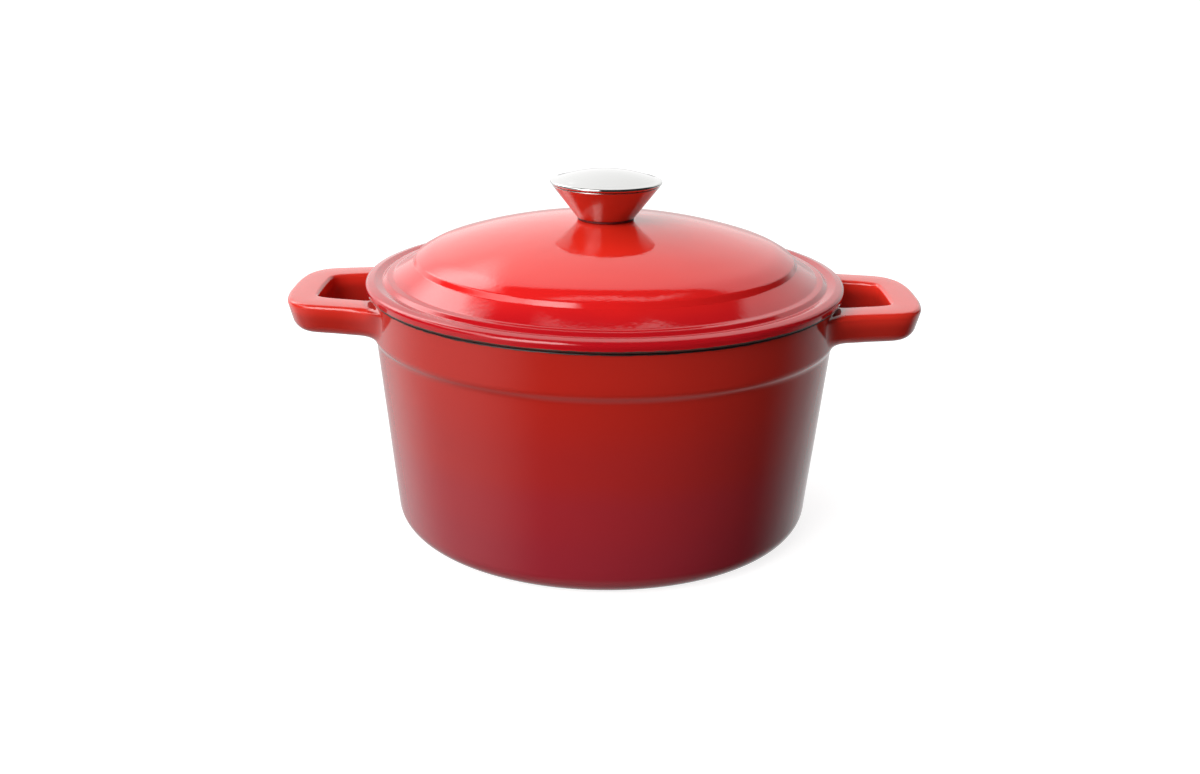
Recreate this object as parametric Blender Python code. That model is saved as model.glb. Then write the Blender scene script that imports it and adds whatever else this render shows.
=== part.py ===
"""A round dutch oven in enamelled cast iron, with a domed lid and a polished steel knob.

Units are metres and +Z is up. The origin is the centre of the base, the two loop handles lie
along X, and the lid is seated on the rim. Everything round is turned about the Z axis, which is
also the axis that the lid lifts along and turns about.
"""

import math

import bmesh
import bpy
from mathutils import Vector

GAP = 0.0003  # left between pieces that touch

# Pot. The wall leans out on the way up, to a thicker band under the rim.
RIM_TOP = 0.1277
RIM_RADIUS = 0.1225
BAND_RADIUS = 0.1228
BAND_FOOT = 0.1068
WALL_HEAD = 0.1035
WALL_LOW_RADIUS = 0.1101
WALL_HIGH_RADIUS = 0.1204
BASE_FILLET = 0.012
FOOT_RING_INSIDE = 0.088
FOOT_RING_DEPTH = 0.0012
WALL = 0.0036
FLOOR = 0.0045
FLOOR_FILLET = 0.014
MOUTH_RADIUS = 0.1168
MOUTH_CHAMFER = 0.001

# Handles: the loop at +X, seen from above. The -X loop is its mirror image.
HANDLE_TOP = 0.1253
HANDLE_BOTTOM = 0.1088
HANDLE_END = 0.1650
HANDLE_DRAFT = math.radians(15)
HANDLE_TOP_RADIUS = 0.002
HANDLE_BOTTOM_RADIUS = 0.007
HANDLE_INNER_RADIUS = 0.0015
HANDLE_ROOT_FILLET = 0.005
HANDLE_OUTER_EDGE = (
    (HANDLE_END, 0.0),
    (0.1643, 0.0166),
    (0.1608, 0.0303),
    (0.1520, 0.0392),
    (0.1310, 0.0436),
    (0.1210, 0.0470),
    (0.1150, 0.0514),
    (0.1090, 0.0582),
    (0.1030, 0.0636),
)
HANDLE_INNER_EDGE = (
    (0.1487, 0.0),
    (0.1484, 0.0120),
    (0.1474, 0.0196),
    (0.1425, 0.0232),
    (0.1330, 0.0258),
    (0.1255, 0.0275),
    (0.1215, 0.0290),
    (0.1160, 0.0315),
    (0.1100, 0.0340),
)

# Lid, outside: a dome down to a crisp edge, a short step, a riser, a narrow ridge, a channel and the lip.
LIP_RADIUS = 0.1254  # where the lip's top and edge would meet, before rounding
DOME_RADIUS = 0.0983
DOME_FOOT = 0.1460
DOME_RISE = 0.0174
DOME_POWER = 2.2
KNOB_SEAT_RADIUS = 0.0165
SCREW_HOLE_RADIUS = 0.0032
SHOULDER = (0.0925, 0.1481, 0.030)
DOME_EDGE = (0.0986, 0.1446, 0.0025)
STEP_FOOT = (0.1002, 0.1418, 0.0015)
RIDGE_INSIDE = (0.1107, 0.1353, 0.0015)
RIDGE_OUTSIDE = (0.1139, 0.1350, 0.0012)
CHANNEL = (0.1162, 0.1331, 0.0012)
LIP_INSIDE = (0.1204, 0.1341, 0.003)
LIP_TOP = 0.1330
LIP_FILLET = 0.0024
LIP_FOOT = (0.1247, 0.1288, 0.0004)
# Lid, underneath: the seat, the locating ring inside the pot's mouth, and the hollow.
SEAT_OUTSIDE = 0.1238
RING_OUTSIDE = 0.1158
RING_INSIDE = 0.1120
RING_FOOT = 0.1240
LID_WALL = 0.0036
HOLLOW_CORNER = (0.1090, 0.1318, 0.004)
HOLLOW_SHOULDER = (0.0945, 0.1410, 0.010)
PAD_RADIUS = 0.0135
PAD_Z = 0.1590

# Knob and its screw, all on the Z axis.
GASKET_RADIUS = 0.0147
GASKET_THICKNESS = 0.0008
KNOB_FOOT_RADIUS = 0.0150
KNOB_HEAD_RADIUS = 0.0285
KNOB_HEAD_Z = 0.1817
CAP_RADIUS = 0.0291
CAP_EDGE_Z = 0.1838
CAP_CROWN = 0.0051
SPIGOT_RADIUS = 0.0228
SPIGOT_DEPTH = 0.0026
INSERT_RADIUS = 0.0060
INSERT_TOP = 0.1785
THREAD_HOLE_RADIUS = 0.0028
THREAD_HOLE_TOP = 0.1762
SCREW_RADIUS = 0.0025
SCREW_TOP = 0.1742
SCREW_HEAD_RADIUS = 0.0048
SCREW_HEAD_HEIGHT = 0.0034
CROSS_WIDTH = 0.0012
CROSS_SPAN = 0.0052
CROSS_DEPTH = 0.0018
WASHER_HOLE_RADIUS = 0.0028
FLAT_WASHER_RADIUS = 0.0075
FLAT_WASHER_THICKNESS = 0.0011
SPRING_WASHER_RADIUS = 0.0045
SPRING_WASHER_THICKNESS = 0.0013
SPRING_WASHER_SWEEP = math.radians(342)

CAST_STEPS = 56  # facets round the pot and the lid
KNOB_STEPS = 32
SMALL_STEPS = 20
ARC_STEP = math.radians(30)
SHARP = math.radians(35)


def clear_scene():
    for obj in list(bpy.data.objects):
        bpy.data.objects.remove(obj, do_unlink=True)


def material(name, colour, roughness, metallic):
    made = bpy.data.materials.new(name)
    made.use_nodes = True
    shader = made.node_tree.nodes["Principled BSDF"]
    shader.inputs["Base Color"].default_value = (*colour, 1.0)
    shader.inputs["Roughness"].default_value = roughness
    shader.inputs["Metallic"].default_value = metallic
    made.diffuse_color = (*colour, 1.0)
    return made


def rounded(corners, arc_step=ARC_STEP):
    """The points of a closed outline of (r, z, fillet radius) corners, each corner rounded."""
    points = []
    for index, (r, z, radius) in enumerate(corners):
        corner = Vector((r, z))
        if radius == 0:
            points.append(corner)
            continue
        back = (Vector(corners[index - 1][:2]) - corner).normalized()
        on = (Vector(corners[(index + 1) % len(corners)][:2]) - corner).normalized()
        half = back.angle(on) / 2
        centre = corner + (back + on).normalized() * radius / math.sin(half)
        start = corner + back * radius / math.tan(half) - centre
        end = corner + on * radius / math.tan(half) - centre
        turn = math.pi - 2 * half
        steps = max(1, math.ceil(turn / arc_step))
        for step in range(steps + 1):
            share = step / steps
            spoke = start * math.sin((1 - share) * turn) + end * math.sin(share * turn)
            points.append(centre + spoke / math.sin(turn))
    return points


def plain(*points):
    """Corners with no rounding."""
    return [(r, z, 0) for r, z in points]


def finish_mesh(bm, name, look):
    """An object from a bmesh, with its faces pointing out and shaded smooth between sharp edges."""
    bmesh.ops.recalc_face_normals(bm, faces=bm.faces)
    mesh = bpy.data.meshes.new(name)
    bm.to_mesh(mesh)
    bm.free()
    mesh.shade_smooth()
    mesh.set_sharp_from_angle(angle=SHARP)
    if look:
        mesh.materials.append(look)
    obj = bpy.data.objects.new(name, mesh)
    bpy.context.scene.collection.objects.link(obj)
    return obj


def turned(name, outline, steps, look, sweep=math.tau):
    """A solid turned about Z from the (r, z) points of its outline.

    An outline that starts and ends on the axis is left open there. A sweep of less than a full
    turn is closed by the outline at both ends.
    """
    bm = bmesh.new()
    verts = [bm.verts.new((r, 0.0, z)) for r, z in outline]
    solid_core = outline[0][0] == 0 and outline[-1][0] == 0
    pairs = zip(verts, verts[1:] if solid_core else verts[1:] + verts[:1])
    edges = [bm.edges.new(pair) for pair in pairs]
    whole = sweep == math.tau
    if not whole:
        bm.faces.new(verts)
    spun = bmesh.ops.spin(
        bm, geom=verts + edges, cent=(0, 0, 0), axis=(0, 0, 1), angle=sweep, steps=steps, use_merge=whole
    )
    if not whole:
        bm.faces.new([v for v in spun["geom_last"] if isinstance(v, bmesh.types.BMVert)])
    bmesh.ops.remove_doubles(bm, verts=bm.verts, dist=1e-7)
    return finish_mesh(bm, name, look)


def as_cutter(obj):
    obj.hide_render = True
    obj.display_type = "WIRE"
    return obj


def combine(obj, other, operation):
    modifier = obj.modifiers.new(other.name, "BOOLEAN")
    modifier.operation = operation
    modifier.solver = "EXACT"
    modifier.object = other


def spline(points, steps):
    """Points along a Catmull-Rom curve through the given ones."""
    points = [Vector(point) for point in points]
    ends = [2 * points[0] - points[1], *points, 2 * points[-1] - points[-2]]
    curve = [points[0]]
    for a, b, c, d in zip(ends, ends[1:], ends[2:], ends[3:]):
        for step in range(1, steps + 1):
            t = step / steps
            bend = 2 * a - 5 * b + 4 * c - d
            twist = 3 * (b - c) + d - a
            curve.append(b + (t * (c - a) + t * t * bend + t * t * t * twist) / 2)
    return curve


def both_halves(edge, steps):
    """A handle edge given from its middle to its root, made into the whole edge, root to root."""
    middle, second = edge[0], edge[1]
    half = spline([(second[0], -second[1]), middle, second, *edge[2:]], steps)[steps:]
    return [Vector((x, -y)) for x, y in reversed(half[1:])] + half


def handle_section(inner, outer):
    """One cross-section of a handle between its inner and outer edge, as 3D points.

    Both top edges are rounded. The outer face leans in on the way down to a broad radius, and the
    underside drops into a fillet near the pot.
    """
    across = (outer - inner).normalized()
    middle = (outer + inner) / 2
    reach = middle.length - BAND_RADIUS
    sink = max(0.0, min(HANDLE_ROOT_FILLET, HANDLE_ROOT_FILLET - reach))
    drop = HANDLE_ROOT_FILLET - math.sqrt(HANDLE_ROOT_FILLET**2 - sink**2)
    bottom = HANDLE_BOTTOM - drop
    top_z = HANDLE_TOP - HANDLE_TOP_RADIUS
    low_z = bottom + HANDLE_BOTTOM_RADIUS
    lean = (low_z - top_z) * math.sin(HANDLE_DRAFT) + HANDLE_TOP_RADIUS - HANDLE_BOTTOM_RADIUS
    arcs = (
        (outer, -HANDLE_TOP_RADIUS, top_z, HANDLE_TOP_RADIUS, (-15, 40, 90)),
        (inner, HANDLE_TOP_RADIUS, top_z, HANDLE_TOP_RADIUS, (90, 135, 180)),
        (inner, HANDLE_INNER_RADIUS, bottom + HANDLE_INNER_RADIUS, HANDLE_INNER_RADIUS, (180, 225, 270)),
        (
            outer,
            -HANDLE_TOP_RADIUS + lean / math.cos(HANDLE_DRAFT),
            low_z,
            HANDLE_BOTTOM_RADIUS,
            (270, 295, 320, 345),
        ),
    )
    ring = []
    for edge, inset, z, radius, angles in arcs:
        for angle in angles:
            spoke = radius * math.cos(math.radians(angle))
            place = edge + across * (inset + spoke)
            ring.append((place.x, place.y, z + radius * math.sin(math.radians(angle))))
    return ring


def handle(name, side):
    """A loop handle at +X (side 1) or -X (side -1), with its ends buried in the pot's wall."""
    steps = 2
    edges = zip(both_halves(HANDLE_INNER_EDGE, steps), both_halves(HANDLE_OUTER_EDGE, steps))
    bm = bmesh.new()
    rings = []
    for inner, outer in edges:
        section = handle_section(inner, outer)
        rings.append([bm.verts.new((side * x, y, z)) for x, y, z in section])
    for ring, following in zip(rings, rings[1:]):
        for index in range(len(ring)):
            after = (index + 1) % len(ring)
            bm.faces.new((ring[index], ring[after], following[after], following[index]))
    bm.faces.new(rings[0])
    bm.faces.new(rings[-1])
    return as_cutter(finish_mesh(bm, name, None))


def pot(look):
    outside = [
        (0, FOOT_RING_DEPTH, 0),
        (FOOT_RING_INSIDE, FOOT_RING_DEPTH, 0),
        (FOOT_RING_INSIDE + FOOT_RING_DEPTH, 0, 0),
        (WALL_LOW_RADIUS, 0, BASE_FILLET),
        (WALL_HIGH_RADIUS, WALL_HEAD, 0.003),
        (BAND_RADIUS, BAND_FOOT, 0.002),
        (RIM_RADIUS, RIM_TOP, 0.001),
        (0, RIM_TOP, 0),
    ]
    lean = (WALL_HIGH_RADIUS - WALL_LOW_RADIUS) / WALL_HEAD
    inside = [
        (0, FLOOR, 0),
        (WALL_LOW_RADIUS - WALL + lean * FLOOR, FLOOR, FLOOR_FILLET),
        (WALL_HIGH_RADIUS - WALL, WALL_HEAD, 0),
        (MOUTH_RADIUS, RIM_TOP - MOUTH_CHAMFER, 0),
        (MOUTH_RADIUS + 2 * MOUTH_CHAMFER, RIM_TOP + MOUTH_CHAMFER, 0),
        (0, RIM_TOP + MOUTH_CHAMFER, 0),
    ]
    body = turned("pot", rounded(outside), CAST_STEPS, look)
    cavity = as_cutter(turned("cavity", rounded(inside), CAST_STEPS, None))
    combine(body, handle("handle_right", 1), "UNION")
    combine(body, handle("handle_left", -1), "UNION")
    combine(body, cavity, "DIFFERENCE")


def dome_height(r):
    return DOME_FOOT + DOME_RISE * (1 - (r / DOME_RADIUS) ** DOME_POWER)


def lid(look):
    seat_z = RIM_TOP + GAP
    dome = [0.026, 0.040, 0.052, 0.063, 0.073, 0.082, 0.0885]
    hollow = [0.088, 0.076, 0.062, 0.046, 0.030]
    corners = [
        (SCREW_HOLE_RADIUS, dome_height(KNOB_SEAT_RADIUS), 0),
        (KNOB_SEAT_RADIUS, dome_height(KNOB_SEAT_RADIUS), 0),
        *plain(*((r, dome_height(r)) for r in dome)),
        SHOULDER,
        DOME_EDGE,
        STEP_FOOT,
        RIDGE_INSIDE,
        RIDGE_OUTSIDE,
        CHANNEL,
        LIP_INSIDE,
        (LIP_RADIUS, LIP_TOP, LIP_FILLET),
        LIP_FOOT,
        (SEAT_OUTSIDE, seat_z, 0),
        (RING_OUTSIDE + GAP, seat_z, 0),
        (RING_OUTSIDE, RING_FOOT, 0.0008),
        (RING_INSIDE, RING_FOOT, 0.0008),
        HOLLOW_CORNER,
        HOLLOW_SHOULDER,
        *plain(*((r, dome_height(r) - LID_WALL) for r in hollow)),
        (PAD_RADIUS, PAD_Z, 0),
        (SCREW_HOLE_RADIUS, PAD_Z, 0),
    ]
    turned("lid", rounded(corners), CAST_STEPS, look)


def knob_gasket(foot, look):
    top = foot + GASKET_THICKNESS
    ring = [(SCREW_HOLE_RADIUS, foot), (GASKET_RADIUS, foot), (GASKET_RADIUS, top), (SCREW_HOLE_RADIUS, top)]
    turned("knob_gasket", rounded(plain(*ring)), KNOB_STEPS, look)


def knob_body(foot, look):
    recess = KNOB_HEAD_Z - SPIGOT_DEPTH
    corners = [
        (INSERT_RADIUS + GAP, foot, 0),
        (KNOB_FOOT_RADIUS, foot, 0.0006),
        (KNOB_HEAD_RADIUS, KNOB_HEAD_Z, 0.0003),
        (SPIGOT_RADIUS + GAP, KNOB_HEAD_Z, 0),
        (SPIGOT_RADIUS + GAP, recess, 0),
        (INSERT_RADIUS + GAP, recess, 0),
    ]
    turned("knob_body", rounded(corners), KNOB_STEPS, look)


def knob_cap(look):
    foot = KNOB_HEAD_Z + GAP
    flat = CAP_RADIUS - 0.0010
    sphere = (flat**2 + CAP_CROWN**2) / (2 * CAP_CROWN)
    crown = []
    for share in (0.82, 0.62, 0.40, 0.20):
        r = flat * share
        crown.append((r, CAP_EDGE_Z + CAP_CROWN - sphere + math.sqrt(sphere**2 - r**2)))
    corners = [
        (0, foot - SPIGOT_DEPTH, 0),
        (SPIGOT_RADIUS, foot - SPIGOT_DEPTH, 0),
        (SPIGOT_RADIUS, foot, 0),
        (CAP_RADIUS - 0.0006, foot, 0),
        (CAP_RADIUS, CAP_EDGE_Z - 0.0006, 0),
        (flat, CAP_EDGE_Z, 0),
        *plain(*crown),
        (0, CAP_EDGE_Z + CAP_CROWN, 0),
    ]
    turned("knob_cap", rounded(corners), KNOB_STEPS, look)


def knob_insert(foot, look):
    corners = plain(
        (0, THREAD_HOLE_TOP),
        (THREAD_HOLE_RADIUS, THREAD_HOLE_TOP),
        (THREAD_HOLE_RADIUS, foot),
        (INSERT_RADIUS, foot),
        (INSERT_RADIUS, INSERT_TOP),
        (0, INSERT_TOP),
    )
    turned("knob_insert", rounded(corners), SMALL_STEPS, look)


def cross_cutter(name, foot, along_x):
    """A bar that sinks one arm of the cross recess into the screw's head from below."""
    spans = (CROSS_SPAN, CROSS_WIDTH) if along_x else (CROSS_WIDTH, CROSS_SPAN)
    bm = bmesh.new()
    bmesh.ops.create_cube(bm, size=1)
    bmesh.ops.scale(bm, verts=bm.verts, vec=(*spans, 2 * CROSS_DEPTH))
    bmesh.ops.translate(bm, verts=bm.verts, vec=(0, 0, foot))
    return as_cutter(finish_mesh(bm, name, None))


def knob_screw(head_top, look):
    foot = head_top - SCREW_HEAD_HEIGHT
    corners = [
        (0, foot, 0),
        (SCREW_HEAD_RADIUS, foot, 0.0014),
        (SCREW_HEAD_RADIUS, head_top, 0),
        (SCREW_RADIUS, head_top, 0),
        (SCREW_RADIUS, SCREW_TOP - 0.0006, 0),
        (SCREW_RADIUS - 0.0006, SCREW_TOP, 0),
        (0, SCREW_TOP, 0),
    ]
    screw = turned("knob_screw", rounded(corners), SMALL_STEPS, look)
    for along_x in (True, False):
        name = "cross_x" if along_x else "cross_y"
        combine(screw, cross_cutter(name, foot, along_x), "DIFFERENCE")


def washer(name, top, thickness, radius, look, sweep=math.tau):
    foot = top - thickness
    ring = [(WASHER_HOLE_RADIUS, foot), (radius, foot), (radius, top), (WASHER_HOLE_RADIUS, top)]
    turned(name, rounded(plain(*ring)), SMALL_STEPS, look, sweep)


def main():
    clear_scene()
    enamel = material("red_enamel", (0.60, 0.02, 0.02), 0.12, 0.0)
    lid_enamel = material("lid_enamel", (0.66, 0.03, 0.02), 0.12, 0.0)
    steel = material("polished_steel", (0.80, 0.80, 0.80), 0.12, 1.0)
    cap_steel = material("cap_steel", (0.85, 0.85, 0.86), 0.18, 1.0)
    brass = material("insert_steel", (0.50, 0.50, 0.52), 0.35, 1.0)
    silicone = material("gasket_silicone", (0.05, 0.02, 0.02), 0.6, 0.0)
    zinc = material("zinc_steel", (0.62, 0.62, 0.60), 0.35, 1.0)

    pot(enamel)
    lid(lid_enamel)
    gasket_foot = dome_height(KNOB_SEAT_RADIUS) + GAP
    knob_foot = gasket_foot + GASKET_THICKNESS + GAP
    knob_gasket(gasket_foot, silicone)
    knob_body(knob_foot, steel)
    knob_cap(cap_steel)
    knob_insert(knob_foot + GAP, brass)
    flat_top = PAD_Z - GAP
    spring_top = flat_top - FLAT_WASHER_THICKNESS - GAP
    head_top = spring_top - SPRING_WASHER_THICKNESS - GAP
    washer("flat_washer", flat_top, FLAT_WASHER_THICKNESS, FLAT_WASHER_RADIUS, zinc)
    washer(
        "spring_washer",
        spring_top,
        SPRING_WASHER_THICKNESS,
        SPRING_WASHER_RADIUS,
        zinc,
        SPRING_WASHER_SWEEP,
    )
    knob_screw(head_top, zinc)


main()
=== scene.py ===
"""Looks for an enamelled cast iron dutch oven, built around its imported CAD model.

Units are metres in the CAD frame: the origin is the centre of the base, +Z is up, the two loop
handles lie along X and the camera looks along +Y. The castings and the knob's parts are turned
again here at a fine resolution, with the profile sizes of the CAD source, and stand for its nodes.
"""

import math

import bmesh
import bpy
import numpy as np
from mathutils import Matrix, Vector, noise


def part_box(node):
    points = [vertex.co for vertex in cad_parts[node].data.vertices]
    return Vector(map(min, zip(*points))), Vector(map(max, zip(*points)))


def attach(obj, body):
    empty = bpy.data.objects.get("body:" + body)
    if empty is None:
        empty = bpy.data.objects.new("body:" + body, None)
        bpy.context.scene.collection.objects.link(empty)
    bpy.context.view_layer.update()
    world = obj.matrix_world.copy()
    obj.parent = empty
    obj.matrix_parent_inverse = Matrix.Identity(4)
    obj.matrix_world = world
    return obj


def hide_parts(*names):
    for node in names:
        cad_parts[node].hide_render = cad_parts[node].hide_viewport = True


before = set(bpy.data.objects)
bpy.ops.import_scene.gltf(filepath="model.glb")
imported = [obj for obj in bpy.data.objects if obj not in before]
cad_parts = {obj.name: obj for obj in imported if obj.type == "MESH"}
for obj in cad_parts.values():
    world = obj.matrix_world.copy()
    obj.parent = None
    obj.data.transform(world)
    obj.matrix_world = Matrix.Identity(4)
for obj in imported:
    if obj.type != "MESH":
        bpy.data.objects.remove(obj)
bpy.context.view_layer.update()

# Heights and radii that the CAD solids give.
_, POT_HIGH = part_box("pot")
LID_LOW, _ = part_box("lid")
GASKET_LOW, GASKET_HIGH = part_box("knob_gasket")
CONE_LOW, CONE_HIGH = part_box("knob_body")
CAP_LOW, CAP_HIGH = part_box("knob_cap")
INSERT_LOW, INSERT_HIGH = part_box("knob_insert")
SCREW_LOW, SCREW_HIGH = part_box("knob_screw")
FLAT_LOW, FLAT_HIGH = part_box("flat_washer")
SPRING_LOW, SPRING_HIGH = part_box("spring_washer")

GAP = 0.0003  # left between pieces that touch

# Pot. The wall leans out on the way up, to a thicker band under the rim.
RIM_TOP = POT_HIGH.z
HANDLE_END = POT_HIGH.x
RIM_RADIUS = 0.1225
BAND_RADIUS = 0.1228
BAND_FOOT = 0.1068
WALL_HEAD = 0.1035
WALL_LOW_RADIUS = 0.1101
WALL_HIGH_RADIUS = 0.1204
BASE_FILLET = 0.012
FOOT_RING_INSIDE = 0.088
FOOT_RING_DEPTH = 0.0012
FOOT_RING_FILLETS = (0.0006, 0.0005)
FOLD_FILLETS = (0.007, 0.006)  # under the band and on its lower corner
RIM_FILLETS = (0.0012, 0.0010)  # outside and inside
WALL = 0.0036
FLOOR = 0.0045
FLOOR_FILLET = 0.014
MOUTH_RADIUS = 0.1168
MOUTH_FILLET = 0.006  # inside, behind the foot of the band
BARE_RIM = 0.0011  # height of the bare iron below the rim's top, outside
BARE_MOUTH = 0.0012  # the same, inside

# Handles: the loop at +X, seen from above, from its middle towards its root.
HANDLE_TOP = 0.1253
HANDLE_BOTTOM = 0.1088
HANDLE_DRAFT = math.radians(15)
HANDLE_TOP_RADIUS = 0.0023
HANDLE_BOTTOM_RADIUS = 0.007
HANDLE_INNER_RADIUS = 0.0015
HANDLE_OUTER_EDGE = (
    (HANDLE_END, 0.0),
    (0.1643, 0.0166),
    (0.1608, 0.0303),
    (0.1520, 0.0392),
    (0.1310, 0.0436),
    (0.1210, 0.0462),
)
HANDLE_INNER_EDGE = (
    (0.1487, 0.0),
    (0.1484, 0.0120),
    (0.1474, 0.0196),
    (0.1425, 0.0232),
    (0.1330, 0.0258),
    (0.1230, 0.0283),
)
# How far from the wall each side of a handle starts to flare, and how far along the wall it ends.
FLARE_OUTER = (0.0180, 0.0115)
FLARE_INNER = (0.0060, 0.0045)
FLARE_TOP = (0.0060, 0.0010)
FLARE_UNDER = (0.0075, 0.0042)
ROOT_DEPTH = 0.0015  # how far the root's end is sunk in the wall
REACH_STEP = 0.00005
HANDLE_STEPS = 7  # sections between two points of the handle's edges
STRAIGHT_STEPS = 6
FLARE_STEPS = 14

# Lid, outside: a dome down to a crisp edge, a short step, a riser, a narrow ridge, a channel and the lip.
DOME_RADIUS = 0.0983
DOME_FOOT = 0.1460
DOME_RISE = 0.0174
DOME_POWER = 2.2
DOME_STEP = 0.0025
DOME_LAST = 0.0905  # where the dome's curve gives way to its shoulder
KNOB_SEAT_RADIUS = 0.0165
SCREW_HOLE_RADIUS = 0.0032
SHOULDER = (0.0925, 0.1481, 0.030)
DOME_EDGE = (0.0986, 0.1446, 0.0025)
STEP_FOOT = (0.1002, 0.1418, 0.0015)
RIDGE_INSIDE = (0.1107, 0.1353, 0.0030)
RIDGE_OUTSIDE = (0.1139, 0.1350, 0.0018)
CHANNEL = (0.1162, 0.1331, 0.0012)
LIP_INSIDE = (0.1204, 0.1341, 0.003)
LIP_TOP = 0.1330
LIP_FILLET = 0.0024
LIP_RADIUS = 0.1254  # where the lip's top and edge would meet, before rounding
LIP_FOOT = (0.1247, 0.1288, 0.0004)
# Lid, underneath: the seat, the locating ring inside the pot's mouth, and the hollow.
SEAT_OUTSIDE = 0.1238
RING_OUTSIDE = 0.1158
RING_INSIDE = 0.1120
RING_FILLET = 0.0012
RING_FOOT = LID_LOW.z
LID_WALL = 0.0036
BARE_MARGIN = 0.0004  # how far the bare iron starts from the lip's foot and from the ring
HOLLOW_CORNER = (0.1090, 0.1318, 0.004)
HOLLOW_SHOULDER = (0.0945, 0.1410, 0.010)
HOLLOW_FIRST = 0.088
PAD_RADIUS = 0.0135
PAD_Z = FLAT_HIGH.z + GAP

# Knob.
KNOB_FOOT_RADIUS = 0.0150
KNOB_HEAD_RADIUS = 0.0285
KNOB_HEAD_Z = CONE_HIGH.z
CAP_RADIUS = 0.0291
CAP_EDGE_Z = 0.1838
CAP_CROWN = CAP_HIGH.z - CAP_EDGE_Z
CAP_BEVEL = (0.0006, 0.0007)  # across and up, round the cap's lower edge
CAP_ROUNDING = 0.0016  # how far inside its edge the cap's crown starts
CROWN_STEPS = 24
SPIGOT_RADIUS = 0.0228
SPIGOT_DEPTH = 0.0026
INSERT_RADIUS = 0.0060
THREAD_HOLE_RADIUS = 0.0028
THREAD_HOLE_TOP = 0.1762
SCREW_RADIUS = 0.0025
SCREW_POINT = 0.0006
PLAIN_SHANK = 0.006  # below the screw's thread
THREAD_PITCH = 0.0008
THREAD_DEPTH = 0.0003
SCREW_HEAD_RADIUS = 0.0048
SCREW_HEAD_FILLET = 0.0014
SCREW_HEAD_TOP = SPRING_LOW.z - GAP
CROSS_WIDTH = 0.0012
CROSS_SPAN = 0.0052
CROSS_DEPTH = 0.0018
WASHER_HOLE_RADIUS = 0.0028
FLAT_WASHER_RADIUS = 0.0075
SPRING_WASHER_RADIUS = 0.0045
SPRING_WASHER_SWEEP = math.radians(342)

CAST_STEPS = 256  # facets round the castings
KNOB_STEPS = 160
SMALL_STEPS = 72
ARC_STEP = math.radians(7)
SHARP = math.radians(40)
POT_FACET = 0.004  # longest facet down the pot's wall
CONE_FACET = 0.0015

# Casting lumps under the enamel: (height, waves per metre). They start at the foot and are full above it.
LUMPS = ((0.00009, 32.0), (0.00004, 95.0))
LUMP_FADE = 0.010

# Enamel: waves per metre of its colour, its gloss, its edge against bare iron, its ripple and that iron.
COLOUR_WAVES, GLOSS_WAVES, EDGE_WAVES, RIPPLE_WAVES, IRON_WAVES = 14.0, 60.0, 220.0, 420.0, 900.0
COLOUR_DRIFT = 0.10  # share of the colour's range
ENAMEL_ROUGHNESS = (0.050, 0.085)
IRON_ROUGHNESS = 0.35  # more than the enamel's
EDGE_WANDER = 0.0008
EDGE_BLUR = 0.0002
RIPPLE_DEPTH = 0.00004
# The wall's grade is partly painted shade, darker towards the foot; the rest of the range is painted light
# on the handles' upper part.
WALL_SHARE = 0.8  # how much of the pot's colour range its wall and band use; the handles use the rest
WALL_GRADE_AND_SHADE_HEIGHTS = (0.0, 0.118)
HANDLE_PAINTED_LIGHT_HEIGHTS = (0.115, HANDLE_TOP - 0.0008)
HANDLE_PAINTED_LIGHT_RADII = (BAND_RADIUS + 0.0005, BAND_RADIUS + 0.0070)
# The lid's red darkens towards the lip over these radii: partly the enamel's own grade, partly painted
# shade.
LID_GRADE_AND_SHADE_RADII = (0.010, 0.125)
LID_CREAM_RADII = (0.0, 0.115)
NOISE_BAND = (0.3, 0.7)  # the part of a noise's range that most of it lies in

# Turned steel: waves per metre and depth of its rings, and their darker shade.
TURNED_WAVES, TURNED_DEPTH = 2600.0, 0.00001
METAL_SHADE = 0.93

RUBBER_WAVES, RUBBER_GRAIN, RUBBER_SHADE = 1500.0, 0.00003, 0.7
RUBBER_ROUGHNESS = (0.45, 0.6)

# Studio lights. Places are (across, behind) on a map of the sky: (0, 0) is overhead, 1 is the
# horizon, and behind is away from the front. An edge runs from where the light starts to where it is full.
KEY_RADIANCE = 7.5
KEY_CENTRE, KEY_HALF, KEY_SOFT = (-0.38, -0.52), (0.27, 0.22), 0.60
KEY_RIGHT_EDGE = (-0.12, -0.20)
COLUMN_RADIANCE = 3.1
COLUMN_LEFT_EDGE, COLUMN_RIGHT_EDGE, COLUMN_LEAN = (-0.72, -0.58), (-0.34, -0.42), -0.35
COLUMN_FRONT_EDGE, COLUMN_BACK_EDGE = (-0.40, -0.20), (0.66, 0.45)
NOTCH_CENTRE, NOTCH_HALF, NOTCH_SOFT = (-0.38, 0.15), (0.13, 0.16), 0.35
STRIP_RADIANCE = 1.5
STRIP_BEHIND, STRIP_EDGE = 0.17, (0.025, 0.01)
STRIP_LEFT_EDGE, STRIP_RIGHT_EDGE = (-0.20, -0.10), (0.24, 0.14)
STRIP_BEND_START, STRIP_BEND = 0.12, 0.9
BACKDROP_RADIANCE = 1.15
BACKDROP_FRONT_EDGE, BACKDROP_LEFT_EDGE, BACKDROP_RIGHT_EDGE = (0.31, 0.36), (-0.90, -0.65), (0.72, 0.55)
BACKDROP_TILT, BACKDROP_LEVEL = -0.35, 1.05
HORIZON_EDGE = (-0.03, 0.03)
# Light from under the horizon: (axis, edge along it, radiance).
LOW_LIGHTS = (("y", (-0.05, 0.85), 0.7), ("x", (-0.40, -0.90), 0.6), ("z", (-0.70, -0.97), 0.35))
AMBIENT_RADIANCE = 0.03
SEEN_RADIANCE = 1.0  # what the camera sees directly: white

FLOOR_RADIUS = 12.0
FLOOR_GLOW = 0.85
FLOOR_GREYS = ((0.36, 0.36, 0.36, 1.0), (0.40, 0.40, 0.40, 1.0))
FLOOR_WAVES = 3.0

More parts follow.
